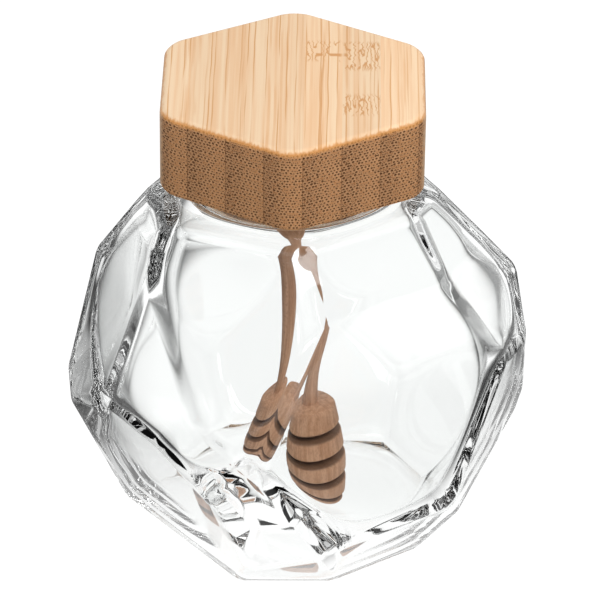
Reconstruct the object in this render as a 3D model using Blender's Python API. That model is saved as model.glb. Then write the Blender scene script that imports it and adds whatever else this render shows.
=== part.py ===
"""Faceted glass honey pot with a hexagonal bamboo lid and a turned wooden dipper.

Units are metres, +Z is up, and the pot stands on the plane z = 0 with its neck on the Z axis.
The front of the pot faces -Y. An azimuth of 0 degrees points to -Y and one of 90 degrees to +X.
"""
import math

import bmesh
import bpy
from mathutils import Matrix, Vector

# Pot body: flat facets cut round a ball, each one (azimuth, elevation, distance from the ball's centre)
BALL_HEIGHT = 0.0465
FRONT_FACETS = (
    (33.0, 7.5, 0.0440),      # large front hexagon
    (32.0, 37.0, 0.0540),     # shoulder above it
    (-17.0, 28.5, 0.0515),    # large front-left facet
    (70.0, 35.0, 0.0565),     # right shoulder
    (69.0, 23.5, 0.0545),     # right flank, upper
    (67.5, -11.0, 0.0515),    # right flank, lower
    (35.0, -35.5, 0.0515),    # foot under the hexagon
    (1.0, -45.0, 0.0535),     # foot at the front
    (-15.0, -21.0, 0.0520),   # front diamond
    (-31.5, -4.5, 0.0515),    # small facet beside the diamond
    (-51.0, -25.0, 0.0450),   # left flank, lower
    (-47.0, 11.0, 0.0505),    # left flank, middle
    (-77.0, 16.0, 0.0485),    # left side
    (-78.5, 27.5, 0.0540),    # left shoulder
)
BACK_FACETS = (
    (98.0, 6.0, 0.0570),      # right side
    (77.0, -34.5, 0.0545),    # right foot
    (-90.0, -20.0, 0.0545),   # left foot
    (-118.5, 36.5, 0.0525),   # rear left shoulder
    (120.0, 39.0, 0.0540),    # rear right shoulder
    (148.0, 6.0, 0.0470),     # rear right facet
    (-165.0, 28.0, 0.0510),   # rear facet, upper
    (165.0, 38.0, 0.0540),    # rear shoulder
    (-119.0, 5.0, 0.0505),    # rear left facet
    (-160.0, -6.0, 0.0540),   # rear facet, middle
    (125.0, -24.0, 0.0540),   # rear right foot
    (175.0, -30.0, 0.0530),   # rear foot
    (-130.0, -30.0, 0.0540),  # rear left foot
)
BLANK_SIZE = 0.3
LEDGE_HEIGHT = 0.0970
SHORTEST_EDGE = 0.0026
FACET_EDGE_RADIUS = 0.0018
FACET_EDGE_STEPS = 2
SMALLEST_FACET_TURN = 5.0

# Wall and hollow: the facets moved in by the wall, and flats of the hollow alone where the glass is thick
WALL = 0.0046
THICK_SPOTS = (
    (-18.0, -31.0, 0.0418),   # inside the front foot
    (-82.0, -2.0, 0.0440),    # inside the left side
)
FLOOR_THICKNESS = 0.0032
HOLLOW_TOP = 0.0980
HOLLOW_FLAT_SHARE = 0.85
HOLLOW_SMOOTHING = 2
HOLLOW_ROUNDNESS = 0.08
HOLLOW_BALL_RADIUS = 0.0435

# Neck and mouth
NECK_RADIUS = 0.0255
NECK_FILLET = 0.0025
NECK_FILLET_STEPS = 4
MOUTH_RADIUS = 0.0210
RIM_HEIGHT = 0.1030
RIM_ROUNDING = 0.0010
RIM_STEPS = 3
MOUTH_FLARE_HEIGHT = 0.0960
MOUTH_FLARE_RADIUS = 0.0230
MOUTH_FLARE_DROP = 0.0040
MOUTH_FLARE_STEPS = 6
MOUTH_FLARE_CURVE = 1.6

# Lid: a hexagonal block with two corners on the Y axis and a round plug under it
GAP = 0.0003
LID_HEIGHT = 0.1240
LID_SIDES = 6
LID_ACROSS_FLATS = 0.0620
LID_CORNER_RADIUS = 0.0045
LID_CORNER_STEPS = 5
LID_TOP_ROUNDING = 0.0018
LID_TOP_STEPS = 3
LID_BOTTOM_ROUNDING = 0.0006
LID_BOTTOM_STEPS = 1
PLUG_RADIUS = 0.0203
PLUG_DEPTH = 0.0070
SOCKET_DEPTH = 0.0150

# Dipper: a thin stem and a grooved barrel
STEM_RADIUS = 0.0027
HEAD_BOTTOM = 0.0042
HEAD_LENGTH = 0.0340
HEAD_RADIUS = 0.0105
HEAD_TOP_RADIUS = 0.0075
RING_COUNT = 5
GROOVE_WIDTH = 0.0019
GROOVE_DEPTH = 0.0040
GROOVE_FLOOR = (0.2, 0.8)
RING_CORNERS = (0.0, 0.25, 0.75, 1.0)
TIP_CORNERS = (0.06, 0.3, 0.65, 1.0)
RING_SOFTENING = 0.0004
TIP_BLUNTNESS = 4.5
SHOULDER_BLUNTNESS = 1.3
SHOULDER_CHAMFER = 0.0006
STEM_END_CHAMFER = 0.0005
LEAN_ANGLE = 5.0
LEAN_AZIMUTH = 18.0

# Fineness and finishes, each finish a colour, a roughness and a transmission
ROUND_STEPS = 64
DIPPER_STEPS = 32
SMOOTH_ANGLE = 30.0
WELD = 1e-6
GLASS = ((0.93, 0.95, 0.95), 0.02, 1.0)
BAMBOO = ((0.62, 0.36, 0.17), 0.55, 0.0)
DIPPER_WOOD = ((0.52, 0.32, 0.20), 0.50, 0.0)


def clear_scene():
    """Remove every object, so that the script can run again in an open file."""
    for item in list(bpy.data.objects):
        bpy.data.objects.remove(item, do_unlink=True)


def finish(name, colour, roughness, transmission):
    """Return a Principled material for one sub-part."""
    material = bpy.data.materials.new(name)
    material.use_nodes = True
    shader = material.node_tree.nodes["Principled BSDF"]
    shader.inputs["Base Color"].default_value = (*colour, 1.0)
    shader.inputs["Roughness"].default_value = roughness
    shader.inputs["Metallic"].default_value = 0.0
    shader.inputs["Transmission Weight"].default_value = transmission
    material.diffuse_color = (*colour, 1.0)
    return material


def to_object(name, shape, material=None):
    """Turn a bmesh into a named object with faces pointing out, and free the bmesh."""
    bmesh.ops.recalc_face_normals(shape, faces=shape.faces[:])
    mesh = bpy.data.meshes.new(name)
    shape.to_mesh(mesh)
    shape.free()
    item = bpy.data.objects.new(name, mesh)
    bpy.context.scene.collection.objects.link(item)
    if material:
        mesh.materials.append(material)
    return item


def as_cutter(item):
    """Hide a helper solid from renders and show it as wire."""
    item.hide_render = True
    item.display_type = 'WIRE'
    return item


def boolean(target, other, operation):
    """Join another solid to the target, or cut the target with it."""
    modifier = target.modifiers.new(other.name, 'BOOLEAN')
    modifier.object = other
    modifier.operation = operation
    modifier.solver = 'EXACT'


def turned(profile, steps):
    """Spin a profile of (radius, height) points, read from bottom to top, about the Z axis."""
    shape = bmesh.new()
    points = [shape.verts.new((radius, 0.0, height)) for radius, height in profile]
    edges = [shape.edges.new(pair) for pair in zip(points, points[1:])]
    bmesh.ops.spin(shape, geom=points + edges, axis=(0, 0, 1), cent=(0, 0, 0),
                   angle=2.0 * math.pi, steps=steps)
    bmesh.ops.remove_doubles(shape, verts=shape.verts[:], dist=WELD)
    return shape


def arc(centre, radius, start, end, steps):
    """Points of an arc in the profile plane, with angles in degrees from the outward direction."""
    points = []
    for step in range(steps + 1):
        angle = math.radians(start + (end - start) * step / steps)
        points.append((centre[0] + radius * math.cos(angle), centre[1] + radius * math.sin(angle)))
    return points


def leaning(shape):
    """Tilt the dipper or its socket about the middle of the lid's underside, its tip to the front right."""
    turn = math.radians(LEAN_AZIMUTH)
    axis = Vector((-math.cos(turn), -math.sin(turn), 0.0))
    tilt = Matrix.Rotation(math.radians(LEAN_ANGLE), 3, axis)
    bmesh.ops.rotate(shape, verts=shape.verts[:], cent=(0.0, 0.0, RIM_HEIGHT), matrix=tilt)
    return shape


def facet_normal(azimuth, elevation):
    """Outward direction of a facet."""
    turn, tilt = math.radians(azimuth), math.radians(elevation)
    return Vector((math.sin(turn) * math.cos(tilt), -math.cos(turn) * math.cos(tilt), math.sin(tilt)))


def cut_flat(shape, point, normal):
    """Cut away all that lies beyond a plane and close the cut with one face."""
    everything = shape.verts[:] + shape.edges[:] + shape.faces[:]
    cut = bmesh.ops.bisect_plane(shape, geom=everything, plane_co=point, plane_no=normal,
                                 clear_outer=True, dist=0.1 * WELD)
    rim = [part for part in cut['geom_cut'] if isinstance(part, bmesh.types.BMEdge)]
    if rim:
        bmesh.ops.contextual_create(shape, geom=rim)


def faceted_block(facets, bottom, top):
    """Block that is cut flat by every facet, by its foot and by its top."""
    shape = bmesh.new()
    bmesh.ops.create_cube(shape, size=BLANK_SIZE)
    centre = Vector((0.0, 0.0, BALL_HEIGHT))
    for azimuth, elevation, distance in facets:
        normal = facet_normal(azimuth, elevation)
        cut_flat(shape, centre + normal * distance, normal)
    cut_flat(shape, Vector((0.0, 0.0, bottom)), Vector((0.0, 0.0, -1.0)))
    cut_flat(shape, Vector((0.0, 0.0, top)), Vector((0.0, 0.0, 1.0)))
    bmesh.ops.remove_doubles(shape, verts=shape.verts[:], dist=SHORTEST_EDGE)
    return shape


def keep_flat_middles(shape, share):
    """Give every face a smaller copy of itself in its middle, which later smoothing leaves flat."""
    faces = shape.faces[:]
    bmesh.ops.inset_individual(shape, faces=faces, thickness=0.0)
    for face in faces:
        middle = face.calc_center_median()
        for vert in face.verts:
            vert.co = middle + (vert.co - middle) * share


def build_hollow():
    """Inside of the pot: its flats smoothed into one another and drawn part way to a ball."""
    flats = [(azimuth, elevation, distance - WALL)
             for azimuth, elevation, distance in FRONT_FACETS + BACK_FACETS]
    shape = faceted_block(flats + list(THICK_SPOTS), FLOOR_THICKNESS, HOLLOW_TOP)
    keep_flat_middles(shape, HOLLOW_FLAT_SHARE)
    bmesh.ops.translate(shape, verts=shape.verts[:], vec=(0.0, 0.0, -BALL_HEIGHT))
    hollow = as_cutter(to_object("hollow", shape))
    hollow.location.z = BALL_HEIGHT
    smooth = hollow.modifiers.new("smooth wall", 'SUBSURF')
    smooth.levels = HOLLOW_SMOOTHING
    smooth.render_levels = HOLLOW_SMOOTHING
    ball = hollow.modifiers.new("towards a ball", 'CAST')
    ball.factor = HOLLOW_ROUNDNESS
    ball.size = HOLLOW_BALL_RADIUS
    return hollow


def neck_profile():
    """Outside of the neck, flared into the ledge below and rounded at the rim."""
    ledge_radius = NECK_RADIUS + NECK_FILLET
    skirt_bottom = LEDGE_HEIGHT - 2.0 * NECK_FILLET
    fillet = arc((ledge_radius, LEDGE_HEIGHT + NECK_FILLET), NECK_FILLET, 270.0, 180.0, NECK_FILLET_STEPS)
    rim_centre = (NECK_RADIUS - RIM_ROUNDING, RIM_HEIGHT - RIM_ROUNDING)
    rim = arc(rim_centre, RIM_ROUNDING, 0.0, 90.0, RIM_STEPS)
    return [(0.0, skirt_bottom), (ledge_radius, skirt_bottom)] + fillet + rim + [(0.0, RIM_HEIGHT)]


def mouth_profile():
    """Space inside the neck, widening smoothly into the hollow below and at the rim."""
    above = RIM_HEIGHT + RIM_ROUNDING
    lip_radius = MOUTH_RADIUS + RIM_ROUNDING
    flare = []
    for step in range(MOUTH_FLARE_STEPS + 1):
        share = step / MOUTH_FLARE_STEPS
        narrowing = math.sin(share * math.pi / 2.0)
        radius = MOUTH_FLARE_RADIUS + (MOUTH_RADIUS - MOUTH_FLARE_RADIUS) * narrowing
        height = MOUTH_FLARE_HEIGHT - MOUTH_FLARE_DROP * (1.0 - share) ** MOUTH_FLARE_CURVE
        flare.append((radius, height))
    rim = arc((lip_radius, RIM_HEIGHT - RIM_ROUNDING), RIM_ROUNDING, 180.0, 90.0, RIM_STEPS)
    start = [(0.0, flare[0][1])]
    return start + flare + rim + [(lip_radius, above), (0.0, above)]


def build_jar():
    """Glass pot: faceted outside, smooth hollow inside, round neck."""
    block = faceted_block(FRONT_FACETS + BACK_FACETS, 0.0, LEDGE_HEIGHT)
    jar = to_object("jar", block, finish("glass", *GLASS))
    edges = jar.modifiers.new("rounded edges", 'BEVEL')
    edges.width = FACET_EDGE_RADIUS
    edges.segments = FACET_EDGE_STEPS
    edges.limit_method = 'ANGLE'
    edges.angle_limit = math.radians(SMALLEST_FACET_TURN)
    neck = as_cutter(to_object("neck", turned(neck_profile(), ROUND_STEPS)))
    hollow = build_hollow()
    mouth = as_cutter(to_object("mouth", turned(mouth_profile(), ROUND_STEPS)))
    boolean(jar, neck, 'UNION')
    boolean(jar, hollow, 'DIFFERENCE')
    boolean(jar, mouth, 'DIFFERENCE')
    return jar


def soften(shape, edges, width, steps):
    """Round off the given edges."""
    bmesh.ops.bevel(shape, geom=edges, offset=width, offset_type='OFFSET', segments=steps,
                    profile=0.5, affect='EDGES')


def hexagon_block(bottom, top):
    """Hexagonal block with rounded corners and softened top and bottom edges."""
    shape = bmesh.new()
    corner_distance = LID_ACROSS_FLATS / math.sqrt(3.0)
    bmesh.ops.create_circle(shape, cap_ends=True, segments=LID_SIDES, radius=corner_distance,
                            matrix=Matrix.Translation((0.0, 0.0, bottom)))
    lifted = bmesh.ops.extrude_face_region(shape, geom=shape.faces[:])
    raised = [part for part in lifted['geom'] if isinstance(part, bmesh.types.BMVert)]
    bmesh.ops.translate(shape, verts=raised, vec=(0.0, 0.0, top - bottom))
    middle = 0.5 * (bottom + top)
    corners = [edge for edge in shape.edges
               if (edge.verts[0].co.z > middle) != (edge.verts[1].co.z > middle)]
    soften(shape, corners, LID_CORNER_RADIUS, LID_CORNER_STEPS)
    for height, rounding, steps in ((top, LID_TOP_ROUNDING, LID_TOP_STEPS),
                                    (bottom, LID_BOTTOM_ROUNDING, LID_BOTTOM_STEPS)):
        outline = [edge for edge in shape.edges
                   if all(abs(vert.co.z - height) < WELD for vert in edge.verts)]
        soften(shape, outline, rounding, steps)
    return shape


def plug_profile():
    """Round plug that reaches down into the mouth, with a softened lower edge."""
    lid_bottom = RIM_HEIGHT + GAP
    low = lid_bottom - PLUG_DEPTH
    inside = lid_bottom + PLUG_DEPTH
    edge = arc((PLUG_RADIUS - RIM_ROUNDING, low + RIM_ROUNDING), RIM_ROUNDING, -90.0, 0.0, RIM_STEPS)
    return [(0.0, low)] + edge + [(PLUG_RADIUS, inside), (0.0, inside)]


def socket_profile():
    """Space for the stem's end, from below the plug up into the block."""
    radius = STEM_RADIUS + GAP
    low = RIM_HEIGHT + GAP - 2.0 * PLUG_DEPTH
    top = RIM_HEIGHT + GAP - PLUG_DEPTH + SOCKET_DEPTH
    return [(0.0, low), (radius, low), (radius, top), (0.0, top)]


def build_lid():
    """Bamboo lid that rests on the rim, with a socket for the dipper's stem."""
    lid = to_object("lid", hexagon_block(RIM_HEIGHT + GAP, LID_HEIGHT), finish("bamboo", *BAMBOO))
    plug = as_cutter(to_object("plug", turned(plug_profile(), ROUND_STEPS)))
    socket = as_cutter(to_object("socket", leaning(turned(socket_profile(), DIPPER_STEPS))))
    boolean(lid, plug, 'UNION')
    boolean(lid, socket, 'DIFFERENCE')
    return lid


def head_radius(share):
    """Outline of the dipper's barrel, with share running from 0 at its tip to 1 at its shoulder."""
    if share < 0.5:
        return HEAD_RADIUS * math.sqrt(max(0.0, 1.0 - (1.0 - 2.0 * share) ** TIP_BLUNTNESS))
    return HEAD_RADIUS - (HEAD_RADIUS - HEAD_TOP_RADIUS) * (2.0 * share - 1.0) ** SHOULDER_BLUNTNESS


def dipper_profile():
    """Half outline of the dipper, from its tip to the top of its stem."""
    pitch = HEAD_LENGTH / RING_COUNT
    points = [(0.0, HEAD_BOTTOM)]
    for ring in range(RING_COUNT):
        low = ring * pitch + (0.5 * GROOVE_WIDTH if ring else 0.0)
        high = (ring + 1) * pitch - (0.5 * GROOVE_WIDTH if ring < RING_COUNT - 1 else 0.0)
        for part in TIP_CORNERS if ring == 0 else RING_CORNERS:
            height = low + (high - low) * part
            softening = RING_SOFTENING if part in (0.0, 1.0) else 0.0
            points.append((head_radius(height / HEAD_LENGTH) - softening, HEAD_BOTTOM + height))
        if ring < RING_COUNT - 1:
            core = head_radius(high / HEAD_LENGTH) - GROOVE_DEPTH
            for part in GROOVE_FLOOR:
                points.append((core, HEAD_BOTTOM + high + part * GROOVE_WIDTH))
    shoulder = HEAD_BOTTOM + HEAD_LENGTH
    stem_top = RIM_HEIGHT - PLUG_DEPTH + SOCKET_DEPTH
    points.append((STEM_RADIUS, shoulder + SHOULDER_CHAMFER))
    points.append((STEM_RADIUS, stem_top - STEM_END_CHAMFER))
    points.append((STEM_RADIUS - STEM_END_CHAMFER, stem_top))
    points.append((0.0, stem_top))
    return points


def build_dipper():
    """Turned dipper that hangs from the lid's socket into the pot."""
    shape = leaning(turned(dipper_profile(), DIPPER_STEPS))
    return to_object("dipper", shape, finish("dipper wood", *DIPPER_WOOD))


def shade_round(item):
    """Shade the round stretches smooth and keep the sharp edges."""
    item.data.shade_smooth()
    item.data.set_sharp_from_angle(angle=math.radians(SMOOTH_ANGLE))


clear_scene()
pot_parts = [build_jar(), build_lid(), build_dipper()]
for pot_part in pot_parts:
    shade_round(pot_part)
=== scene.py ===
"""Looks of a faceted glass honey pot with a bamboo lid and a turned dipper hanging inside.

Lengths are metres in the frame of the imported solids: +Z up, the pot on z = 0, its front towards -Y.
Azimuths are degrees from -Y towards +X, and elevations are degrees above the horizon.
"""
import logging
import math
from collections.abc import Callable, Sequence
from dataclasses import dataclass
from enum import Enum

import bmesh
import bpy
from mathutils import Matrix, Vector


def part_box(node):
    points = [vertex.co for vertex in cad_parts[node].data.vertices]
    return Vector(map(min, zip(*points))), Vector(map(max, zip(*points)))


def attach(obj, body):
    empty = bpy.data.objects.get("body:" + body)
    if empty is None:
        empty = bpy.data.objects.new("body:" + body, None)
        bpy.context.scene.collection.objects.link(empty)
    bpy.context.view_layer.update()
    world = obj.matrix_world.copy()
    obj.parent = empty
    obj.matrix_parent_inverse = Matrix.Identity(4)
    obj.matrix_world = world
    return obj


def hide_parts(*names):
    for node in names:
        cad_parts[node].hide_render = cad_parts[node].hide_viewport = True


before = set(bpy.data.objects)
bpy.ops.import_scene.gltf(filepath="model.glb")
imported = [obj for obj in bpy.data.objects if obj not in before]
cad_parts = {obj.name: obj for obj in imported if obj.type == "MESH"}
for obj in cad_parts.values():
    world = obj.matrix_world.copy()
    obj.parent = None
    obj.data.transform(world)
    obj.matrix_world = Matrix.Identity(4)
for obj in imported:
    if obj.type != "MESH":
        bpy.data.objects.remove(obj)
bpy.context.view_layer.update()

log = logging.getLogger("honey_pot")
MM = 0.001
WELD = 1e-6
Socket = bpy.types.NodeSocket
Piece = bpy.types.Object
Profile = list[tuple[float, float]]
Colour = tuple[float, float, float]


class Join(Enum):
    """How one solid is combined with another."""

    ADD = 'UNION'
    CUT = 'DIFFERENCE'


# Modelling helpers

def only(piece: Piece) -> None:
    """Make a piece the one selected and active object.

    Args:
        piece: The object that the next operators act on.
    """
    bpy.ops.object.select_all(action='DESELECT')
    piece.select_set(True)
    bpy.context.view_layer.objects.active = piece


def take(name: str) -> Piece:
    """Name the object that an operator has just made.

    Args:
        name: The new name of the object and its mesh.

    Returns:
        The active object.
    """
    piece = bpy.context.object
    piece.name = name
    piece.data.name = name
    return piece


def select_edges(piece: Piece, test: Callable[[bmesh.types.BMEdge], bool]) -> None:
    """Select the edges of a piece in edit mode that pass a test.

    Args:
        piece: The object in edit mode.
        test: Says whether an edge is wanted.
    """
    bpy.ops.mesh.select_mode(type='EDGE')
    bpy.ops.mesh.select_all(action='DESELECT')
    shape = bmesh.from_edit_mesh(piece.data)
    for edge in shape.edges:
        edge.select_set(test(edge))
    bmesh.update_edit_mesh(piece.data)


def freeze(piece: Piece) -> None:
    """Apply a piece's modifiers and its place, which leaves its object unturned at the origin.

    Args:
        piece: The object to finish.
    """
    only(piece)
    for modifier in list(piece.modifiers):
        bpy.ops.object.modifier_apply(modifier=modifier.name)
    bpy.ops.object.transform_apply(location=True, rotation=True, scale=True)


def combine(target: Piece, other: Piece, way: Join) -> None:
    """Join a solid to the target or cut the target with it, and delete the solid.

    Args:
        target: The piece that is changed.
        other: The solid that is used up.
        way: Whether it is added or cut away.
    """
    modifier = target.modifiers.new(other.name, 'BOOLEAN')
    modifier.object = other
    modifier.operation = way.value
    modifier.solver = 'EXACT'
    only(target)
    bpy.ops.object.modifier_apply(modifier=modifier.name)
    bpy.data.objects.remove(other, do_unlink=True)


def turned(name: str, profile: Profile, steps: int) -> Piece:
    """Spin an outline about the Z axis.

    Args:
        name: Name of the new piece.
        profile: (radius, height) points from bottom to top, starting and ending on the axis.
        steps: Number of sides.

    Returns:
        The closed turned piece.
    """
    mesh = bpy.data.meshes.new(name)
    links = [(index, index + 1) for index in range(len(profile) - 1)]
    mesh.from_pydata([(radius, 0.0, height) for radius, height in profile], links, [])
    piece = bpy.data.objects.new(name, mesh)
    bpy.context.scene.collection.objects.link(piece)
    only(piece)
    bpy.ops.object.mode_set(mode='EDIT')
    bpy.ops.mesh.select_all(action='SELECT')
    bpy.ops.mesh.spin(steps=steps, angle=2.0 * math.pi, center=(0.0, 0.0, 0.0), axis=(0.0, 0.0, 1.0))
    bpy.ops.mesh.select_all(action='SELECT')
    bpy.ops.mesh.remove_doubles(threshold=WELD)
    bpy.ops.mesh.normals_make_consistent(inside=False)
    bpy.ops.object.mode_set(mode='OBJECT')
    return piece


def arc(centre: tuple[float, float], radius: float, start: float, end: float, steps: int) -> Profile:
    """Points of an arc in the (radius, height) plane.

    Args:
        centre: Middle of the arc.
        radius: Its radius.
        start: First angle in degrees, 0 pointing outwards and 90 up.
        end: Last angle.
        steps: Number of stretches.

    Returns:
        The points from the first angle to the last.
    """
    angles = [math.radians(start + (end - start) * step / steps) for step in range(steps + 1)]
    return [(centre[0] + radius * math.cos(angle), centre[1] + radius * math.sin(angle)) for angle in angles]


def towards(azimuth: float, elevation: float) -> Vector:
    """Unit vector of a direction.

    Args:
        azimuth: Degrees from -Y towards +X.
        elevation: Degrees above the horizon.

    Returns:
        The direction.
    """
    turn, tilt = math.radians(azimuth), math.radians(elevation)
    return Vector((math.sin(turn) * math.cos(tilt), -math.cos(turn) * math.cos(tilt), math.sin(tilt)))


@dataclass(frozen=True)
class Lean:
    """The slight lean of the hanging dipper about the middle of the lid's underside."""

    angle: float = 5.0
    azimuth: float = 18.0
    height: float = 0.1030

    def axis(self) -> Vector:
        """Axis about which the dipper is turned."""
        turn = math.radians(self.azimuth)
        return Vector((-math.cos(turn), -math.sin(turn), 0.0))

    def turn(self) -> Matrix:
        """The turn on its own."""
        return Matrix.Rotation(math.radians(self.angle), 4, self.axis())

    def apply(self, piece: Piece) -> None:
        """Lean an upright piece and put the lean in its mesh."""
        pivot = Matrix.Translation((0.0, 0.0, self.height))
        piece.matrix_world = pivot @ self.turn() @ pivot.inverted()
        freeze(piece)


# Material helpers

class Graph:
    """A node tree with short calls that add nodes and join their sockets."""

    def __init__(self, tree: bpy.types.NodeTree) -> None:
        """Keep the tree that is drawn in."""
        self.tree = tree

    def feed(self, socket: Socket, value: object) -> None:
        """Link a socket to another one, or set its value."""
        if isinstance(value, bpy.types.NodeSocket):
            self.tree.links.new(value, socket)
        else:
            socket.default_value = value

    def add(self, kind: str, inputs: dict[str, object] | None = None, **settings: object) -> bpy.types.Node:
        """Add a node.

        Args:
            kind: The node's type.
            inputs: Values or sockets by the name of the input.
            **settings: The node's own settings.

        Returns:
            The new node.
        """
        node = self.tree.nodes.new(kind)
        for name, value in settings.items():
            setattr(node, name, value)
        for name, value in (inputs or {}).items():
            self.feed(node.inputs[name], value)
        return node

    def calc(self, operation: str, *values: object) -> Socket:
        """Result of a Math node on up to three values."""
        node = self.add('ShaderNodeMath', operation=operation)
        for socket, value in zip(node.inputs, values):
            self.feed(socket, value)
        return node.outputs[0]

    def scaled(self, vector: Socket, factors: Sequence[float]) -> Socket:
        """A vector multiplied by one factor for each axis."""
        node = self.add('ShaderNodeVectorMath', operation='MULTIPLY')
        self.feed(node.inputs[0], vector)
        self.feed(node.inputs[1], tuple(factors))
        return node.outputs[0]

    def split(self, vector: Socket) -> tuple[Socket, Socket, Socket]:
        """The three numbers of a vector."""
        node = self.add('ShaderNodeSeparateXYZ', {"Vector": vector})
        return node.outputs[0], node.outputs[1], node.outputs[2]

    def vector(self, x: object = 0.0, y: object = 0.0, z: object = 0.0) -> Socket:
        """A vector from three numbers."""
        return self.add('ShaderNodeCombineXYZ', {"X": x, "Y": y, "Z": z}).outputs[0]

    def step(self, value: Socket, low: object, high: object) -> Socket:
        """Smooth step of a value from 0 at the first limit to 1 at the second."""
        node = self.add('ShaderNodeMapRange', {"Value": value, "From Min": low, "From Max": high},
                        interpolation_type='SMOOTHSTEP', clamp=True)
        return node.outputs[0]

    def blend(self, share: object, first: object, second: object, way: str = 'MIX') -> Socket:
        """Mix of two colours.

        Args:
            share: Share of the second colour.
            first: First colour, as a socket or four numbers.
            second: Second colour.
            way: The Mix node's way of blending.

        Returns:
            The mixed colour.
        """
        node = self.add('ShaderNodeMix', data_type='RGBA', blend_type=way)
        self.feed(node.inputs[0], share)
        self.feed(node.inputs[6], first)
        self.feed(node.inputs[7], second)
        return node.outputs[2]

    def noise(self, vector: Socket, detail: float = 2.0, roughness: float = 0.5) -> Socket:
        """Noise with features one unit of the vector apart."""
        node = self.add('ShaderNodeTexNoise', {"Vector": vector, "Scale": 1.0, "Detail": detail,
                                               "Roughness": roughness})
        return node.outputs[0]


class Effect:
    """A shader node group that several materials use."""

    def __init__(self, name: str, inputs: dict[str, str], outputs: dict[str, str]) -> None:
        """Make the group with its sockets.

        Args:
            name: Name of the group.
            inputs: Socket types by the name of the input.
            outputs: Socket types by the name of the output.
        """
        self.tree = bpy.data.node_groups.new(name, 'ShaderNodeTree')
        for socket, kind in inputs.items():
            self.tree.interface.new_socket(socket, in_out='INPUT', socket_type=kind)
        for socket, kind in outputs.items():
            self.tree.interface.new_socket(socket, in_out='OUTPUT', socket_type=kind)
        self.graph = Graph(self.tree)
        self.given = self.graph.add('NodeGroupInput').outputs
        self.result = self.graph.add('NodeGroupOutput').inputs

    def placed(self, graph: Graph, inputs: dict[str, object]) -> bpy.types.bpy_prop_collection:
        """Put the group in a material.

        Args:
            graph: The material's tree.
            inputs: Values or sockets by the name of the input.

        Returns:
            The outputs of the placed group.
        """
        node = graph.add('ShaderNodeGroup', node_tree=self.tree)
        for name, value in inputs.items():
            graph.feed(node.inputs[name], value)
        return node.outputs


FLOAT = 'NodeSocketFloat'
VECTOR = 'NodeSocketVector'


def fibre_effect() -> Effect:
    """Fine lines and soft bands that run along Y, as fibres do in cut wood or bamboo.

    Returns:
        The group, with lengths in the unit of its Vector input.
    """
    effect = Effect("fibres", {"Vector": VECTOR, "Spacing": FLOAT, "Length": FLOAT, "Fineness": FLOAT},
                    {"Lines": FLOAT, "Bands": FLOAT})
    graph, given = effect.graph, effect.given
    x, y, z = graph.split(given["Vector"])
    across = graph.calc('DIVIDE', x, given["Spacing"])
    along = graph.calc('DIVIDE', y, given["Length"])
    depth = graph.calc('DIVIDE', z, given["Spacing"])
    ridge = graph.noise(graph.vector(across, along, depth), 1.0)
    distance = graph.calc('ABSOLUTE', graph.calc('SUBTRACT', ridge, 0.5))
    line = graph.calc('SUBTRACT', 1.0, graph.step(distance, 0.0, given["Fineness"]))
    patchy = graph.noise(graph.vector(graph.calc('MULTIPLY', across, 0.37), graph.calc('MULTIPLY', along, 1.7),
                                      graph.calc('MULTIPLY', depth, 0.37)), 1.0)
    graph.feed(effect.result["Lines"], graph.calc('MULTIPLY', line, graph.step(patchy, 0.35, 0.62)))
    wide = graph.noise(graph.vector(graph.calc('MULTIPLY', across, 0.9), graph.calc('MULTIPLY', along, 0.6),
                                    graph.calc('MULTIPLY', depth, 0.9)), 3.0, 0.6)
    graph.feed(effect.result["Bands"], graph.step(wide, 0.35, 0.65))
    return effect


def streak_effect() -> Effect:
    """Thin crisp streaks of differing strength that run along Y, as cut fibre bundles do.

    Returns:
        The group, with lengths in the unit of its Vector input.
    """
    effect = Effect("streaks", {"Vector": VECTOR, "Width": FLOAT, "Share": FLOAT, "Length": FLOAT, "Sway": FLOAT},
                    {"Streaks": FLOAT})
    graph, given = effect.graph, effect.given
    x, y, _ = graph.split(given["Vector"])
    sway = graph.noise(graph.vector(graph.calc('MULTIPLY', x, 0.12), graph.calc('MULTIPLY', y, 0.045)), 1.0)
    swayed = graph.calc('MULTIPLY_ADD', sway, given["Sway"], x)
    column = graph.calc('DIVIDE', swayed, given["Width"])
    number = graph.calc('FLOOR', column)
    luck = graph.add('ShaderNodeTexWhiteNoise', {"W": number}, noise_dimensions='1D').outputs[0]
    rarity = graph.calc('SUBTRACT', 1.0, given["Share"])
    chosen = graph.step(luck, rarity, graph.calc('MULTIPLY_ADD', given["Share"], 0.7, rarity))
    patchy = graph.noise(graph.vector(graph.calc('MULTIPLY', number, 5.3),
                                      graph.calc('DIVIDE', y, given["Length"])), 1.0)
    edge = graph.calc('ABSOLUTE', graph.calc('SUBTRACT', graph.calc('FRACT', column), 0.5))
    soft = graph.step(edge, 0.5, 0.36)
    strength = graph.calc('MULTIPLY', chosen, graph.step(patchy, 0.34, 0.56))
    graph.feed(effect.result["Streaks"], graph.calc('MULTIPLY', strength, soft))
    return effect


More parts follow.
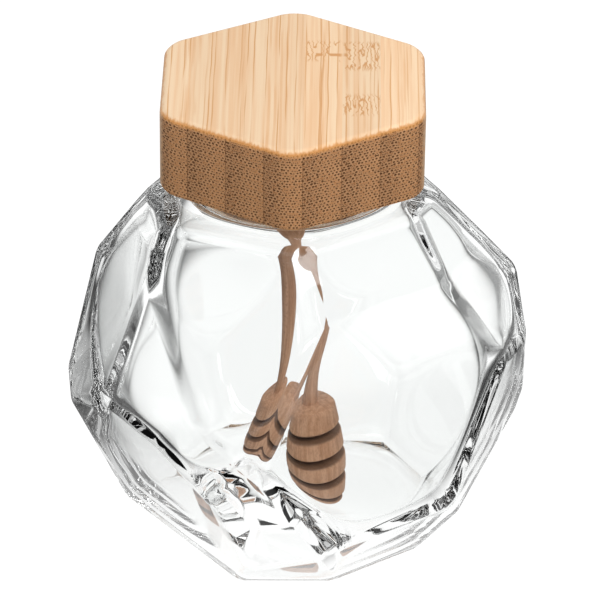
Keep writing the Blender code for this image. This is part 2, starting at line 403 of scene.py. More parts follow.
def pore_effect() -> Effect:
    """Small rings and dots in the XZ plane, as the cut ends of fibre bundles show.

    Returns:
        The group, with lengths in the unit of its Vector input.
    """
    effect = Effect("pores", {"Vector": VECTOR, "Spacing": FLOAT, "Size": FLOAT, "Order": FLOAT},
                    {"Pores": FLOAT, "Halos": FLOAT, "Tone": FLOAT})
    graph, given = effect.graph, effect.given
    x, _, z = graph.split(given["Vector"])
    down = graph.calc('DIVIDE', graph.calc('MULTIPLY', z, 1.15), given["Spacing"])
    stagger = graph.calc('MULTIPLY', graph.calc('FLOORED_MODULO', graph.calc('FLOOR', down), 2.0), 0.5)
    flat = graph.vector(graph.calc('ADD', graph.calc('DIVIDE', x, given["Spacing"]), stagger), down)
    cells = graph.add('ShaderNodeTexVoronoi', {"Vector": flat, "Scale": 1.0, "Randomness": given["Order"]},
                      voronoi_dimensions='2D', feature='F1')
    tone, other, _ = graph.split(cells.outputs["Color"])
    size = graph.calc('MULTIPLY', given["Size"], graph.calc('MULTIPLY_ADD', other, 0.4, 0.8))
    away = cells.outputs["Distance"]
    dot = graph.step(away, size, graph.calc('MULTIPLY', size, 0.6))
    middle = graph.step(away, graph.calc('MULTIPLY', size, 0.4), 0.0)
    hole = graph.calc('MULTIPLY', middle, graph.step(tone, 0.35, 0.75))
    graph.feed(effect.result["Pores"], graph.calc('MULTIPLY', dot, graph.calc('MULTIPLY_ADD', hole, -0.5, 1.0)))
    graph.feed(effect.result["Halos"], graph.step(away, graph.calc('MULTIPLY', size, 1.7), size))
    graph.feed(effect.result["Tone"], tone)
    return effect


def principled(name: str) -> tuple[bpy.types.Material, Graph, bpy.types.Node]:
    """Start a material.

    Args:
        name: Its name.

    Returns:
        The material, its graph and its Principled shader.
    """
    material = bpy.data.materials.new(name)
    material.use_nodes = True
    return material, Graph(material.node_tree), material.node_tree.nodes["Principled BSDF"]


def opaque(colour: Colour) -> tuple[float, float, float, float]:
    """A colour with full alpha."""
    return (*colour, 1.0)


@dataclass(frozen=True)
class ClearGlass:
    """Colourless pressed glass that lets lamps and soft light through to what is inside."""

    tint: Colour = (0.985, 0.995, 0.99)
    refraction: float = 1.5

    def make(self) -> bpy.types.Material:
        """Build the material."""
        material, graph, shader = principled("clear_glass")
        shader.inputs["Base Color"].default_value = opaque(self.tint)
        shader.inputs["Roughness"].default_value = 0.0
        shader.inputs["Metallic"].default_value = 0.0
        shader.inputs["IOR"].default_value = self.refraction
        shader.inputs["Transmission Weight"].default_value = 1.0
        path = graph.add('ShaderNodeLightPath')
        clear = graph.add('ShaderNodeBsdfTransparent', {"Color": (0.93, 0.93, 0.93, 1.0)})
        surface = shader.outputs[0]
        for ray in ("Is Diffuse Ray", "Is Shadow Ray"):
            mix = graph.add('ShaderNodeMixShader')
            graph.feed(mix.inputs[0], path.outputs[ray])
            graph.feed(mix.inputs[1], surface)
            graph.feed(mix.inputs[2], clear.outputs[0])
            surface = mix.outputs[0]
        output = material.node_tree.nodes["Material Output"]
        graph.feed(output.inputs["Surface"], surface)
        return material


@dataclass(frozen=True)
class Bamboo:
    """Glued bamboo strips that run along Y: pale streaked faces and brown end grain full of pores."""

    fibres: Effect
    streaks: Effect
    pores: Effect
    strip_width: float = 8.95
    strip_start: float = 2.55
    face: Colour = (0.82, 0.53, 0.305)
    face_warm: Colour = (0.725, 0.38, 0.165)
    face_pale: Colour = (0.875, 0.645, 0.42)
    line: Colour = (0.63, 0.30, 0.10)
    end: Colour = (0.495, 0.235, 0.098)
    end_deep: Colour = (0.26, 0.105, 0.038)
    end_pale: Colour = (0.70, 0.41, 0.215)
    pore: Colour = (0.060, 0.017, 0.004)
    rim: Colour = (0.72, 0.33, 0.10)
    long_side: Colour = (0.54, 0.34, 0.19)
    knuckles: tuple[tuple[float, float, float], ...] = ((7.0, 14.4, 6.0), (16.0, -11.7, 6.0), (16.0, 12.0, 8.0))
    knuckle_half_width: float = 4.2

    def knuckle_marks(self, graph: Graph, x: Socket, y: Socket) -> Socket:
        """Short wavy strokes where the cane had its knuckles.

        Args:
            graph: The material's tree.
            x: Millimetres across the strips.
            y: Millimetres along them.

        Returns:
            The strokes' mask.
        """
        wobble = graph.noise(graph.vector(graph.calc('MULTIPLY', x, 0.5), graph.calc('MULTIPLY', y, 0.7)), 1.0)
        bent = graph.calc('MULTIPLY_ADD', wobble, 1.4, x)
        ridge = graph.noise(graph.vector(graph.calc('MULTIPLY', bent, 1.0), graph.calc('MULTIPLY', y, 0.16)), 0.0)
        strokes = graph.step(graph.calc('ABSOLUTE', graph.calc('SUBTRACT', ridge, 0.5)), 0.08, 0.03)
        where = 0.0
        for middle_x, middle_y, half_length in self.knuckles:
            off_x = graph.calc('ABSOLUTE', graph.calc('SUBTRACT', x, middle_x))
            off_y = graph.calc('ABSOLUTE', graph.calc('SUBTRACT', y, middle_y))
            in_x = graph.step(off_x, self.knuckle_half_width + 0.5, self.knuckle_half_width - 0.5)
            in_y = graph.step(off_y, half_length, half_length - 2.5)
            where = graph.calc('MAXIMUM', where, graph.calc('MULTIPLY', in_x, in_y))
        return graph.calc('MULTIPLY', strokes, where)

    def make(self) -> bpy.types.Material:
        """Build the material."""
        material, graph, shader = principled("glued_bamboo")
        place = graph.add('ShaderNodeTexCoord')
        point = graph.scaled(place.outputs["Object"], (1.0 / MM,) * 3)
        x, y, z = graph.split(point)
        strip = graph.calc('DIVIDE', graph.calc('SUBTRACT', x, self.strip_start), self.strip_width)
        number = graph.calc('FLOOR', strip)
        across = graph.calc('FRACT', strip)
        luck = graph.add('ShaderNodeTexWhiteNoise', {"W": number}, noise_dimensions='1D').outputs[0]
        shift = graph.calc('MULTIPLY', luck, 90.0)

        own_x = graph.calc('ADD', x, shift)
        own_y = graph.calc('ADD', y, graph.calc('MULTIPLY', luck, 300.0))
        own = graph.vector(own_x, own_y, z)
        bands = self.fibres.placed(graph, {"Vector": own, "Spacing": 1.5, "Length": 55.0, "Fineness": 0.05})
        crisp = self.streaks.placed(graph, {"Vector": own, "Width": 0.31, "Share": 0.34, "Length": 34.0,
                                            "Sway": 0.8})
        soft = self.streaks.placed(graph, {"Vector": own, "Width": 0.7, "Share": 0.5, "Length": 22.0, "Sway": 0.8})
        face = graph.blend(bands["Bands"], opaque(self.face), opaque(self.face_pale))
        face = graph.blend(graph.calc('MULTIPLY', soft["Streaks"], 0.42), face, opaque(self.face_warm))
        face = graph.blend(graph.calc('MULTIPLY', crisp["Streaks"], 0.88), face, opaque(self.line))
        knuckles = self.knuckle_marks(graph, x, y)
        face = graph.blend(graph.calc('MULTIPLY', knuckles, 0.95), face, opaque(self.line))
        tone = graph.calc('MULTIPLY_ADD', luck, 0.12, 0.92)
        face = graph.blend(1.0, face, graph.vector(tone, tone, tone), 'MULTIPLY')

        dense = graph.step(across, 0.75, 0.02)
        dots = self.pores.placed(graph, {"Vector": graph.vector(own_x, 0.0, z), "Spacing": 0.84,
                                         "Size": graph.calc('MULTIPLY_ADD', dense, 0.07, 0.355), "Order": 0.42})
        mottle = graph.noise(graph.vector(graph.calc('MULTIPLY', own_x, 0.5), 0.0, graph.calc('MULTIPLY', z, 0.35)), 3.0)
        deep = graph.calc('MULTIPLY_ADD', dense, 0.7, graph.calc('MULTIPLY', mottle, 0.25))
        end = graph.blend(deep, opaque(self.end), opaque(self.end_deep))
        end = graph.blend(graph.calc('MULTIPLY', dots["Halos"], 0.6), end, opaque(self.end_pale))
        depth = graph.calc('MULTIPLY', dots["Pores"], graph.calc('MULTIPLY_ADD', dots["Tone"], 0.15, 0.85))
        end = graph.blend(depth, end, opaque(self.pore))
        joint = graph.calc('MINIMUM', across, graph.calc('SUBTRACT', 1.0, across))
        glue = graph.calc('SUBTRACT', 1.0, graph.step(joint, 0.0, 0.02))
        end = graph.blend(graph.calc('MULTIPLY', glue, 0.45), end, opaque(self.pore))

        sides = self.fibres.placed(graph, {"Vector": graph.vector(z, own_y, x), "Spacing": 0.9, "Length": 40.0,
                                           "Fineness": 0.09})
        long_side = graph.blend(graph.calc('MULTIPLY', sides["Bands"], 0.5), opaque(self.long_side), opaque(self.face))
        long_side = graph.blend(graph.calc('MULTIPLY', sides["Lines"], 0.6), long_side, opaque(self.line))

        facing_x, facing_y, facing_z = graph.split(place.outputs["Normal"])
        ragged = graph.noise(graph.vector(graph.calc('MULTIPLY', x, 1.6), graph.calc('MULTIPLY', y, 0.7)), 1.0)
        flat = graph.calc('MULTIPLY_ADD', graph.calc('SUBTRACT', ragged, 0.5), 0.5,
                          graph.calc('ABSOLUTE', facing_z))
        is_end = graph.step(graph.calc('ABSOLUTE', facing_y), 0.22, 0.5)
        is_face = graph.step(flat, 0.5, 0.8)
        colour = graph.blend(is_end, long_side, end)
        rim = graph.calc('MULTIPLY', graph.step(flat, 0.1, 0.45), graph.calc('SUBTRACT', 1.0, graph.step(flat, 0.6, 0.9)))
        colour = graph.blend(is_face, colour, face)
        colour = graph.blend(graph.calc('MULTIPLY', rim, 0.6), colour, opaque(self.rim))
        graph.feed(shader.inputs["Base Color"], colour)

        on_end = graph.calc('MULTIPLY', is_end, graph.calc('SUBTRACT', 1.0, is_face))
        graph.feed(shader.inputs["Roughness"], graph.calc('MULTIPLY_ADD', on_end, 0.2, 0.45))
        graph.feed(shader.inputs["Specular IOR Level"], graph.calc('MULTIPLY_ADD', on_end, -0.35, 0.45))
        lines = graph.calc('MULTIPLY', graph.calc('MAXIMUM', crisp["Streaks"], knuckles), is_face)
        hollow = graph.calc('MAXIMUM', graph.calc('MULTIPLY', dots["Pores"], on_end), graph.calc('MULTIPLY', lines, 0.4))
        bump = graph.add('ShaderNodeBump', {"Height": hollow, "Strength": 0.35, "Distance": 0.0001}, invert=True)
        graph.feed(shader.inputs["Normal"], bump.outputs[0])
        return material


@dataclass(frozen=True)
class DipperWood:
    """Bare turned wood with painted shade darkening its grooves and the ring edges beside them."""

    fibres: Effect
    pores: Effect
    lean: Lean
    body: Colour = (0.46, 0.24, 0.13)
    pale: Colour = (0.60, 0.35, 0.215)
    deep: Colour = (0.27, 0.125, 0.062)
    groove_shade: Colour = (0.11, 0.055, 0.03)
    # Colour of the painted shade in the grooves

    def make(self, tip: float, pitch: float, groove_width: float, rings: int) -> bpy.types.Material:
        """Build the material.

        Args:
            tip: Height of the dipper's tip before it leans.
            pitch: Distance from ring to ring.
            groove_width: Width of a groove.
            rings: Number of rings.

        Returns:
            The material.
        """
        material, graph, shader = principled("turned_wood")
        place = graph.add('ShaderNodeTexCoord')
        upright = graph.add('ShaderNodeMapping', {"Vector": place.outputs["Object"],
                                                  "Location": (0.0, 0.0, self.lean.height),
                                                  "Rotation": self.lean.turn().to_euler(),
                                                  "Scale": (MM, MM, MM)}, vector_type='TEXTURE')
        x, y, z = graph.split(upright.outputs[0])
        grain = self.fibres.placed(graph, {"Vector": graph.vector(x, z, y), "Spacing": 1.1, "Length": 14.0,
                                           "Fineness": 0.09})
        speck = self.pores.placed(graph, {"Vector": graph.vector(graph.calc('ADD', x, y), 0.0,
                                                                 graph.calc('MULTIPLY', z, 0.35)),
                                          "Spacing": 0.5, "Size": 0.3, "Order": 1.0})
        colour = graph.blend(grain["Bands"], opaque(self.body), opaque(self.pale))
        colour = graph.blend(graph.calc('MULTIPLY', grain["Lines"], 0.35), colour, opaque(self.deep))
        colour = graph.blend(graph.calc('MULTIPLY', speck["Pores"], 0.35), colour, opaque(self.deep))
        # Painted shade: the grooves and the ring edges beside them are darkened towards the groove shade colour, as
        # shade in the recesses
        first = (tip - self.lean.height) / MM
        ring = graph.calc('DIVIDE', graph.calc('SUBTRACT', z, first), pitch / MM)
        nearest = graph.calc('ABSOLUTE', graph.calc('SUBTRACT', graph.calc('FRACT', graph.calc('ADD', ring, 0.5)), 0.5))
        half = 0.5 * groove_width / pitch
        band = graph.step(nearest, 1.7 * half, 1.0 * half)
        above = graph.step(ring, 0.5, 0.6)
        below = graph.calc('SUBTRACT', 1.0, graph.step(ring, rings - 0.6, rings - 0.5))
        shade = graph.calc('MULTIPLY', band, graph.calc('MULTIPLY', above, below))
        colour = graph.blend(graph.calc('MULTIPLY', shade, 0.85), colour, opaque(self.groove_shade))
        graph.feed(shader.inputs["Base Color"], colour)
        shader.inputs["Roughness"].default_value = 0.55
        bump = graph.add('ShaderNodeBump', {"Height": grain["Lines"], "Strength": 0.3, "Distance": 0.0001}, invert=True)
        graph.feed(shader.inputs["Normal"], bump.outputs[0])
        return material


# The pot

@dataclass(frozen=True)
class Facet:
    """A flat of the pot, by the direction it faces and its distance from the ball's centre."""

    azimuth: float
    elevation: float
    distance: float

    def normal(self) -> Vector:
        """Outward direction."""
        return towards(self.azimuth, self.elevation)


FACETS = (
    Facet(33.0, 7.5, 0.0440),      # large front hexagon
    Facet(32.0, 37.0, 0.0540),     # shoulder above it
    Facet(-17.0, 28.5, 0.0515),    # large front-left facet
    Facet(70.0, 35.0, 0.0565),     # right shoulder
    Facet(69.0, 23.5, 0.0545),     # right flank, upper
    Facet(67.5, -11.0, 0.0515),    # right flank, lower
    Facet(35.0, -35.5, 0.0515),    # foot under the hexagon
    Facet(1.0, -45.0, 0.0535),     # foot at the front
    Facet(-15.0, -21.0, 0.0520),   # front diamond
    Facet(-31.5, -4.5, 0.0515),    # small facet beside the diamond
    Facet(-51.0, -25.0, 0.0450),   # left flank, lower
    Facet(-47.0, 11.0, 0.0505),    # left flank, middle
    Facet(-77.0, 16.0, 0.0485),    # left side
    Facet(-78.5, 27.5, 0.0540),    # left shoulder
    Facet(98.0, 6.0, 0.0570),      # right side
    Facet(77.0, -34.5, 0.0545),    # right foot
    Facet(-90.0, -20.0, 0.0545),   # left foot
    Facet(-118.5, 36.5, 0.0525),   # rear left shoulder
    Facet(120.0, 39.0, 0.0540),    # rear right shoulder
    Facet(148.0, 6.0, 0.0470),     # rear right facet
    Facet(-165.0, 28.0, 0.0510),   # rear facet, upper
    Facet(165.0, 38.0, 0.0540),    # rear shoulder
    Facet(-119.0, 5.0, 0.0505),    # rear left facet
    Facet(-160.0, -6.0, 0.0540),   # rear facet, middle
    Facet(125.0, -24.0, 0.0540),   # rear right foot
    Facet(175.0, -30.0, 0.0530),   # rear foot
    Facet(-130.0, -30.0, 0.0540),  # rear left foot
)


THICK_SPOTS = (
    Facet(-18.0, -31.0, 0.0418),   # inside the front foot
    Facet(-82.0, -2.0, 0.0440),    # inside the left side
)


@dataclass
class GlassPot:
    """Pressed glass pot: flat facets with rolled edges outside, a smooth uneven hollow inside."""

    ball_height: float = 0.0465
    blank_size: float = 0.3
    ledge_height: float = 0.0970
    shortest_edge: float = 0.0026
    edge_width: float = 0.0021
    edge_steps: int = 4
    sharpest_flat: float = 5.0
    wall: float = 0.0046
    floor: float = 0.0032
    hollow_top: float = 0.0980
    flat_share: float = 0.85
    smoothing: int = 4
    roundness: float = 0.08
    round_radius: float = 0.0435
    ripple: float = 0.00022
    ripple_size: float = 0.017
    neck_radius: float = 0.0255
    neck_fillet: float = 0.0025
    mouth_radius: float = 0.0210
    rim_height: float = 0.1030
    rim_rounding: float = 0.0010
    flare_height: float = 0.0960
    flare_radius: float = 0.0230
    flare_drop: float = 0.0040
    flare_curve: float = 1.6
    sides: int = 128

    def block(self, name: str, facets: Sequence[Facet], bottom: float, top: float) -> Piece:
        """Cut a cube flat along every facet.

        Args:
            name: Name of the block.
            facets: The flats that it is cut along.
            bottom: Height of its foot.
            top: Height of its top.

        Returns:
            The block, with its shortest edges merged away.
        """
        bpy.ops.object.select_all(action='DESELECT')
        bpy.ops.mesh.primitive_cube_add(size=self.blank_size, location=(0.0, 0.0, 0.0))
        block = take(name)
        centre = Vector((0.0, 0.0, self.ball_height))
        planes = [(centre + facet.normal() * facet.distance, facet.normal()) for facet in facets]
        planes.append((Vector((0.0, 0.0, bottom)), Vector((0.0, 0.0, -1.0))))
        planes.append((Vector((0.0, 0.0, top)), Vector((0.0, 0.0, 1.0))))
        bpy.ops.object.mode_set(mode='EDIT')
        for point, normal in planes:
            bpy.ops.mesh.select_all(action='SELECT')
            bpy.ops.mesh.bisect(plane_co=point, plane_no=normal, use_fill=True, clear_outer=True, threshold=WELD)
        bpy.ops.mesh.select_all(action='SELECT')
        bpy.ops.mesh.remove_doubles(threshold=self.shortest_edge)
        bpy.ops.mesh.normals_make_consistent(inside=False)
        bpy.ops.object.mode_set(mode='OBJECT')
        return block

    def hollow(self) -> Piece:
        """Inside of the pot: its facets moved in, smoothed, drawn part way to a ball and gently rippled."""
        inner = [Facet(facet.azimuth, facet.elevation, facet.distance - self.wall) for facet in FACETS]
        hollow = self.block("hollow", inner + list(THICK_SPOTS), self.floor, self.hollow_top)
        bpy.ops.object.mode_set(mode='EDIT')
        bpy.ops.mesh.select_all(action='SELECT')
        bpy.ops.mesh.inset(thickness=0.0, use_individual=True)
        shape = bmesh.from_edit_mesh(hollow.data)
        for face in [face for face in shape.faces if face.select]:
            middle = face.calc_center_median()
            for vert in face.verts:
                vert.co = middle + (vert.co - middle) * self.flat_share
        bmesh.update_edit_mesh(hollow.data)
        bpy.ops.object.mode_set(mode='OBJECT')
        hollow.data.transform(Matrix.Translation((0.0, 0.0, -self.ball_height)))
        smooth = hollow.modifiers.new("smooth wall", 'SUBSURF')
        smooth.levels = self.smoothing
        smooth.render_levels = self.smoothing
        ball = hollow.modifiers.new("towards a ball", 'CAST')
        ball.factor = self.roundness
        ball.size = self.round_radius
        waves = bpy.data.textures.new("ripples", 'CLOUDS')
        waves.noise_scale = self.ripple_size
        waves.noise_depth = 0
        ripple = hollow.modifiers.new("ripples", 'DISPLACE')
        ripple.texture = waves
        ripple.strength = self.ripple
        ripple.mid_level = 0.5
        freeze(hollow)
        hollow.location.z = self.ball_height
        freeze(hollow)
        return hollow

    def neck(self) -> Piece:
        """Outside of the neck, flared into the ledge and rounded at the rim."""
        ledge_radius = self.neck_radius + self.neck_fillet
        below = self.ledge_height - 2.0 * self.neck_fillet
        fillet = arc((ledge_radius, self.ledge_height + self.neck_fillet), self.neck_fillet, 270.0, 180.0, 8)
        rim = arc((self.neck_radius - self.rim_rounding, self.rim_height - self.rim_rounding),
                  self.rim_rounding, 0.0, 90.0, 6)
        return turned("neck", [(0.0, below), (ledge_radius, below)] + fillet + rim + [(0.0, self.rim_height)],
                      self.sides)

    def mouth(self) -> Piece:
        """Space inside the neck, widening smoothly into the hollow and at the rim."""
        flare = []
        steps = 12
        for step in range(steps + 1):
            share = step / steps
            narrowing = math.sin(share * math.pi / 2.0)
            radius = self.flare_radius + (self.mouth_radius - self.flare_radius) * narrowing
            flare.append((radius, self.flare_height - self.flare_drop * (1.0 - share) ** self.flare_curve))
        lip = self.mouth_radius + self.rim_rounding
        rim = arc((lip, self.rim_height - self.rim_rounding), self.rim_rounding, 180.0, 90.0, 6)
        above = self.rim_height + self.rim_rounding
        return turned("mouth", [(0.0, flare[0][1])] + flare + rim + [(lip, above), (0.0, above)], self.sides)

    def build(self) -> Piece:
        """Make the pot as one closed body of glass."""
        pot = self.block("glass_pot", FACETS, 0.0, self.ledge_height)
        edges = pot.modifiers.new("rolled edges", 'BEVEL')
        edges.width = self.edge_width
        edges.segments = self.edge_steps
        edges.limit_method = 'ANGLE'
        edges.angle_limit = math.radians(self.sharpest_flat)
        freeze(pot)
        combine(pot, self.neck(), Join.ADD)
        combine(pot, self.hollow(), Join.CUT)
        combine(pot, self.mouth(), Join.CUT)
        only(pot)
        bpy.ops.object.shade_smooth_by_angle(angle=math.radians(40.0))
        flats = pot.modifiers.new("flat facets", 'WEIGHTED_NORMAL')
        flats.weight = 80
        flats.keep_sharp = True
        freeze(pot)
        return pot

    def dress(self, pot: Piece) -> None:
        """Give the pot its glass."""
        pot.data.materials.clear()
        pot.data.materials.append(ClearGlass().make())


# The lid

@dataclass
class BambooLid:
    """Hexagonal bamboo block with two corners on the Y axis and a round plug under it."""

    fibres: Effect
    streaks: Effect
    pores: Effect
    gap: float = 0.0003
    rim_height: float = 0.1030
    corner_radius: float = 0.0045
    corner_steps: int = 10
    top_rounding: float = 0.0018
    top_steps: int = 5
    bottom_rounding: float = 0.0006
    bottom_steps: int = 2
    plug_radius: float = 0.0203
    plug_depth: float = 0.0070
    plug_rounding: float = 0.0010
    socket_radius: float = 0.0030
    socket_depth: float = 0.0150
    sides: int = 96

    def block(self) -> Piece:
        """Hexagonal block with rounded corners and softened edges."""
        low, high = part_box("lid")
        bottom = self.rim_height + self.gap
        top = high[2]
        radius = (high[0] - low[0]) / math.sqrt(3.0)
        bpy.ops.object.select_all(action='DESELECT')
        bpy.ops.mesh.primitive_cylinder_add(vertices=6, radius=radius, depth=top - bottom,
                                            location=(0.0, 0.0, 0.5 * (bottom + top)))
        lid = take("bamboo_lid")
        freeze(lid)
        bpy.ops.object.mode_set(mode='EDIT')
        select_edges(lid, lambda edge: abs(edge.verts[0].co.z - edge.verts[1].co.z) > 0.5 * (top - bottom))
        bpy.ops.mesh.bevel(offset=self.corner_radius, offset_type='OFFSET', segments=self.corner_steps,
                           affect='EDGES')
        for height, rounding, steps in ((top, self.top_rounding, self.top_steps),
                                        (bottom, self.bottom_rounding, self.bottom_steps)):
            select_edges(lid, lambda edge: all(abs(vert.co.z - height) < 10.0 * WELD for vert in edge.verts))
            bpy.ops.mesh.bevel(offset=rounding, offset_type='OFFSET', segments=steps, affect='EDGES')
        bpy.ops.object.mode_set(mode='OBJECT')
        return lid

    def plug(self) -> Piece:
        """Round plug that reaches down into the mouth."""
        bottom = self.rim_height + self.gap
        low = bottom - self.plug_depth
        edge = arc((self.plug_radius - self.plug_rounding, low + self.plug_rounding), self.plug_rounding,
                   -90.0, 0.0, 6)
        inside = bottom + self.plug_depth
        return turned("plug", [(0.0, low)] + edge + [(self.plug_radius, inside), (0.0, inside)], self.sides)

    def socket(self) -> Piece:
        """Leaning hole for the dipper's stem."""
        below = self.rim_height + self.gap - 2.0 * self.plug_depth
        top = self.rim_height + self.gap - self.plug_depth + self.socket_depth
        hole = turned("socket", [(0.0, below), (self.socket_radius, below), (self.socket_radius, top), (0.0, top)],
                      self.sides)
        Lean().apply(hole)
        return hole

    def build(self) -> Piece:
        """Make the lid as one closed body."""
        lid = self.block()
        combine(lid, self.plug(), Join.ADD)
        combine(lid, self.socket(), Join.CUT)
        only(lid)
        bpy.ops.object.shade_smooth_by_angle(angle=math.radians(35.0))
        flats = lid.modifiers.new("flat faces", 'WEIGHTED_NORMAL')
        flats.keep_sharp = True
        freeze(lid)
        return lid

    def dress(self, lid: Piece) -> None:
        """Give the lid its bamboo."""
        lid.data.materials.clear()
        lid.data.materials.append(Bamboo(self.fibres, self.streaks, self.pores).make())


# The dipper

@dataclass
class Dipper:
    """Turned dipper: a thin stem and a barrel of rings, leaning slightly in its socket."""

    fibres: Effect
    pores: Effect
    stem_radius: float = 0.0027
    tip: float = 0.0042
    head_length: float = 0.0340
    head_radius: float = 0.0105
    shoulder_radius: float = 0.0075
    rings: int = 5
    groove_width: float = 0.0019
    groove_depth: float = 0.0040
    ring_rounding: float = 0.0005
    tip_bluntness: float = 4.5
    shoulder_bluntness: float = 1.3
    stem_top: float = 0.1110
    stem_chamfer: float = 0.0005
    sides: int = 64

    def outline(self, height: float) -> float:
        """Radius of the barrel at a height above its tip.

        Args:
            height: Height above the tip.

        Returns:
            The radius of the rings there.
        """
        share = height / self.head_length
        if share < 0.5:
            return self.head_radius * math.sqrt(max(0.0, 1.0 - (1.0 - 2.0 * share) ** self.tip_bluntness))
        fall = (2.0 * share - 1.0) ** self.shoulder_bluntness
        return self.head_radius - (self.head_radius - self.shoulder_radius) * fall

    def ring(self, low: float, high: float, first: bool) -> Profile:
        """Half outline of one ring, rounded at its edges.

        Args:
            low: Height of its lower edge above the tip.
            high: Height of its upper edge above the tip.
            first: True for the ring that ends in the tip.

        Returns:
            The points from the lower edge to the upper one.
        """
        points = []
        steps = 10
        for step in range(1 if first else 0, steps + 1):
            height = low + (high - low) * step / steps
            edge = min(height - low if not first else self.head_length, high - height)
            inward = max(0.0, self.ring_rounding - edge)
            dip = self.ring_rounding - math.sqrt(max(0.0, self.ring_rounding ** 2 - inward ** 2))
            points.append((max(self.outline(height) - dip, 0.0003), self.tip + height))
        return points

    def profile(self) -> Profile:
        """Half outline of the dipper from its tip to the top of its stem."""
        pitch = self.head_length / self.rings
        half = 0.5 * self.groove_width
        points = [(0.0, self.tip)]
        for number in range(self.rings):
            low = number * pitch + (half if number else 0.0)
            last = number == self.rings - 1
            high = (number + 1) * pitch - (0.0 if last else half)
            points += self.ring(low, high, number == 0)
            if not last:
                core = self.outline(high) - self.groove_depth
                points += [(core, self.tip + high + 0.2 * self.groove_width),
                           (core, self.tip + high + 0.8 * self.groove_width)]
        shoulder = self.tip + self.head_length
        return points + [(self.stem_radius, shoulder + self.stem_chamfer),
                         (self.stem_radius, self.stem_top - self.stem_chamfer),
                         (self.stem_radius - self.stem_chamfer, self.stem_top), (0.0, self.stem_top)]

    def build(self) -> Piece:
        """Turn the dipper and lean it."""
        dipper = turned("turned_dipper", self.profile(), self.sides)
        Lean().apply(dipper)
        only(dipper)
        bpy.ops.object.shade_smooth_by_angle(angle=math.radians(40.0))
        return dipper

    def dress(self, dipper: Piece) -> None:
        """Give the dipper its wood."""
        wood = DipperWood(self.fibres, self.pores, Lean())
        dipper.data.materials.clear()
        dipper.data.materials.append(wood.make(self.tip, self.head_length / self.rings, self.groove_width, self.rings))


# Studio

@dataclass
class Camera:
    """The photograph's viewpoint, given from the middle of the lid's top."""

    elevation: float = 28.9
    azimuth: float = 0.5
    roll: float = 0.63
    distance: float = 1.0
    focal_pixels: float = 4251.5
    frame_pixels: float = 600.0
    lid_middle_pixel: tuple[float, float] = (293.77, 79.7)
    sensor: float = 36.0

    def build(self) -> None:
        """Place the camera and make it the scene's own."""
        back = towards(self.azimuth, self.elevation)
        level = Vector((0.0, 0.0, 1.0)).cross(back).normalized()
        roll = math.radians(self.roll)
        upright = back.cross(level)
        right = level * math.cos(roll) + upright * math.sin(roll)
        up = upright * math.cos(roll) - level * math.sin(roll)
        across = (0.5 * self.frame_pixels - self.lid_middle_pixel[0]) / self.focal_pixels
        down = (0.5 * self.frame_pixels - self.lid_middle_pixel[1]) / self.focal_pixels
        view = (right * across - up * down - back).normalized()
        right = view.cross(up).normalized()
        turn = Matrix((right, right.cross(view), -view)).transposed().to_4x4()
        lid_top = Vector((0.0, 0.0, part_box("lid")[1][2]))
        turn.translation = lid_top + back * self.distance
        data = bpy.data.cameras.new("camera")
        data.sensor_width = self.sensor
        data.lens = self.focal_pixels / self.frame_pixels * self.sensor
        data.clip_start = 0.01
        camera = bpy.data.objects.new("camera", data)
        bpy.context.scene.collection.objects.link(camera)
        camera.matrix_world = turn
        bpy.context.scene.camera = camera


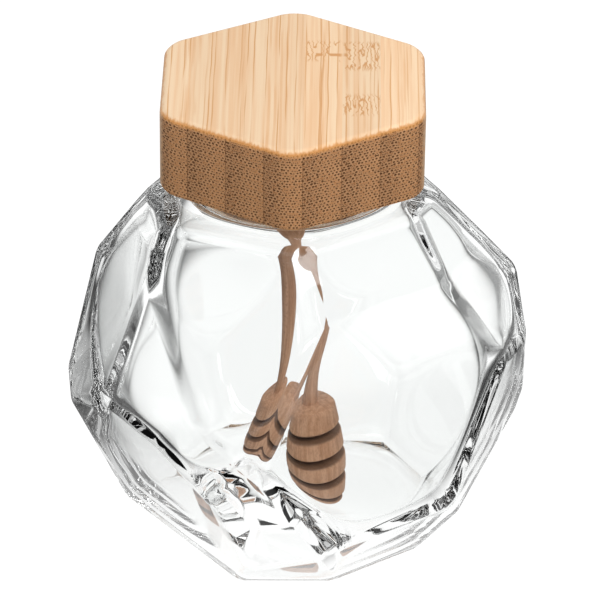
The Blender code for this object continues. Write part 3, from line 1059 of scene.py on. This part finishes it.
@dataclass
class Studio:
    """Plain white sweep that glows, under soft light, with dark flags low down at both sides for the glass."""

    floor_size: float = 8.0
    floor_drop: float = 0.00005
    floor_white: float = 1.08
    floor_glow: float = 1.07
    floor_dark: float = 0.05
    pool_inner: float = 0.115
    pool_outer: float = 0.25
    pool_behind: float = 0.075
    pool_right: float = 0.012
    pool_narrowness: float = 0.38
    far_inner: float = 0.42
    far_outer: float = 0.62
    dark: float = 0.22
    back_light: float = 0.6
    top_light: float = 1.3
    key_power: float = 4.0
    key_size: float = 0.4
    key_azimuth: float = 22.0
    key_elevation: float = 45.0
    key_distance: float = 0.9

    def floor(self) -> None:
        """Lay the pale floor: plain white to the camera, a pool of light with dark surroundings to the glass."""
        bpy.ops.object.select_all(action='DESELECT')
        bpy.ops.mesh.primitive_plane_add(size=self.floor_size, location=(0.0, 0.0, -self.floor_drop))
        floor = take("floor")
        material, graph, shader = principled("pale_floor")
        spot = graph.add('ShaderNodeMapping', {"Vector": graph.add('ShaderNodeTexCoord').outputs["Object"],
                                               "Location": (self.pool_right, self.pool_behind, 0.0),
                                               "Scale": (self.pool_narrowness, 1.0, 1.0)}, vector_type='TEXTURE')
        away = graph.add('ShaderNodeVectorMath', operation='LENGTH')
        graph.feed(away.inputs[0], spot.outputs[0])
        pool = graph.step(away.outputs["Value"], self.pool_outer, self.pool_inner)
        far = graph.step(away.outputs["Value"], self.far_inner, self.far_outer)
        # The floor glows instead of being lit: its emission is plain white to the camera and, to the glass, a painted
        # pool of light with dark surroundings
        level = graph.calc('MULTIPLY_ADD', graph.calc('MAXIMUM', pool, far), self.floor_glow - self.floor_dark,
                           self.floor_dark)
        seen = graph.add('ShaderNodeLightPath').outputs["Is Camera Ray"]
        ramp = graph.add('ShaderNodeMix', {"Factor": seen, "A": level, "B": self.floor_white}, data_type='FLOAT')
        shader.inputs["Base Color"].default_value = opaque((0.0, 0.0, 0.0))
        shader.inputs["Roughness"].default_value = 1.0
        shader.inputs["Specular IOR Level"].default_value = 0.0
        shader.inputs["Emission Color"].default_value = (1.0, 1.0, 1.0, 1.0)
        graph.feed(shader.inputs["Emission Strength"], ramp.outputs[0])
        floor.data.materials.append(material)

    def surroundings(self) -> None:
        """Light the scene from behind and from above, and leave the camera's side and the flanks dark."""
        world = bpy.data.worlds.new("studio")
        bpy.context.scene.world = world
        world.use_nodes = True
        graph = Graph(world.node_tree)
        x, y, z = graph.split(graph.add('ShaderNodeTexCoord').outputs["Generated"])
        behind = graph.calc('MULTIPLY', graph.step(y, 0.25, 0.6), self.back_light)
        above = graph.calc('MULTIPLY', graph.step(z, 0.62, 0.8), self.top_light)
        level = graph.calc('MAXIMUM', graph.calc('MAXIMUM', behind, above), self.dark)
        background = world.node_tree.nodes["Background"]
        graph.feed(background.inputs["Color"], graph.vector(level, level, level))
        background.inputs["Strength"].default_value = 1.0

    def key(self) -> None:
        """Hang the softbox at the right front."""
        data = bpy.data.lights.new("softbox", 'AREA')
        data.energy = self.key_power
        data.size = self.key_size
        light = bpy.data.objects.new("softbox", data)
        bpy.context.scene.collection.objects.link(light)
        direction = towards(self.key_azimuth, self.key_elevation)
        light.location = direction * self.key_distance + Vector((0.0, 0.0, 0.06))
        light.rotation_euler = direction.to_track_quat('Z', 'Y').to_euler()
        light.visible_glossy = False

    def build(self) -> None:
        """Set up floor, light and camera."""
        self.floor()
        self.surroundings()
        self.key()
        Camera().build()
        scene = bpy.context.scene
        scene.view_settings.view_transform = 'Standard'
        scene.cycles.max_bounces = 24
        scene.cycles.transmission_bounces = 24
        scene.cycles.glossy_bounces = 12


def main() -> None:
    """Build and dress every piece, then the studio."""
    logging.basicConfig(level=logging.INFO, format="%(name)s: %(message)s")
    fibres, streaks, pores = fibre_effect(), streak_effect(), pore_effect()
    parts = ((GlassPot(), "jar", "glass"), (BambooLid(fibres, streaks, pores), "lid", "bamboo"),
             (Dipper(fibres, pores), "dipper", "dipper_wood"))
    for part, node, slot in parts:
        piece = part.build()
        part.dress(piece)
        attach(piece, "root")
        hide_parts(node)
        log.info("%s: %d faces", piece.name, len(piece.data.polygons))
    Studio().build()


if __name__ == "__main__":
    main()
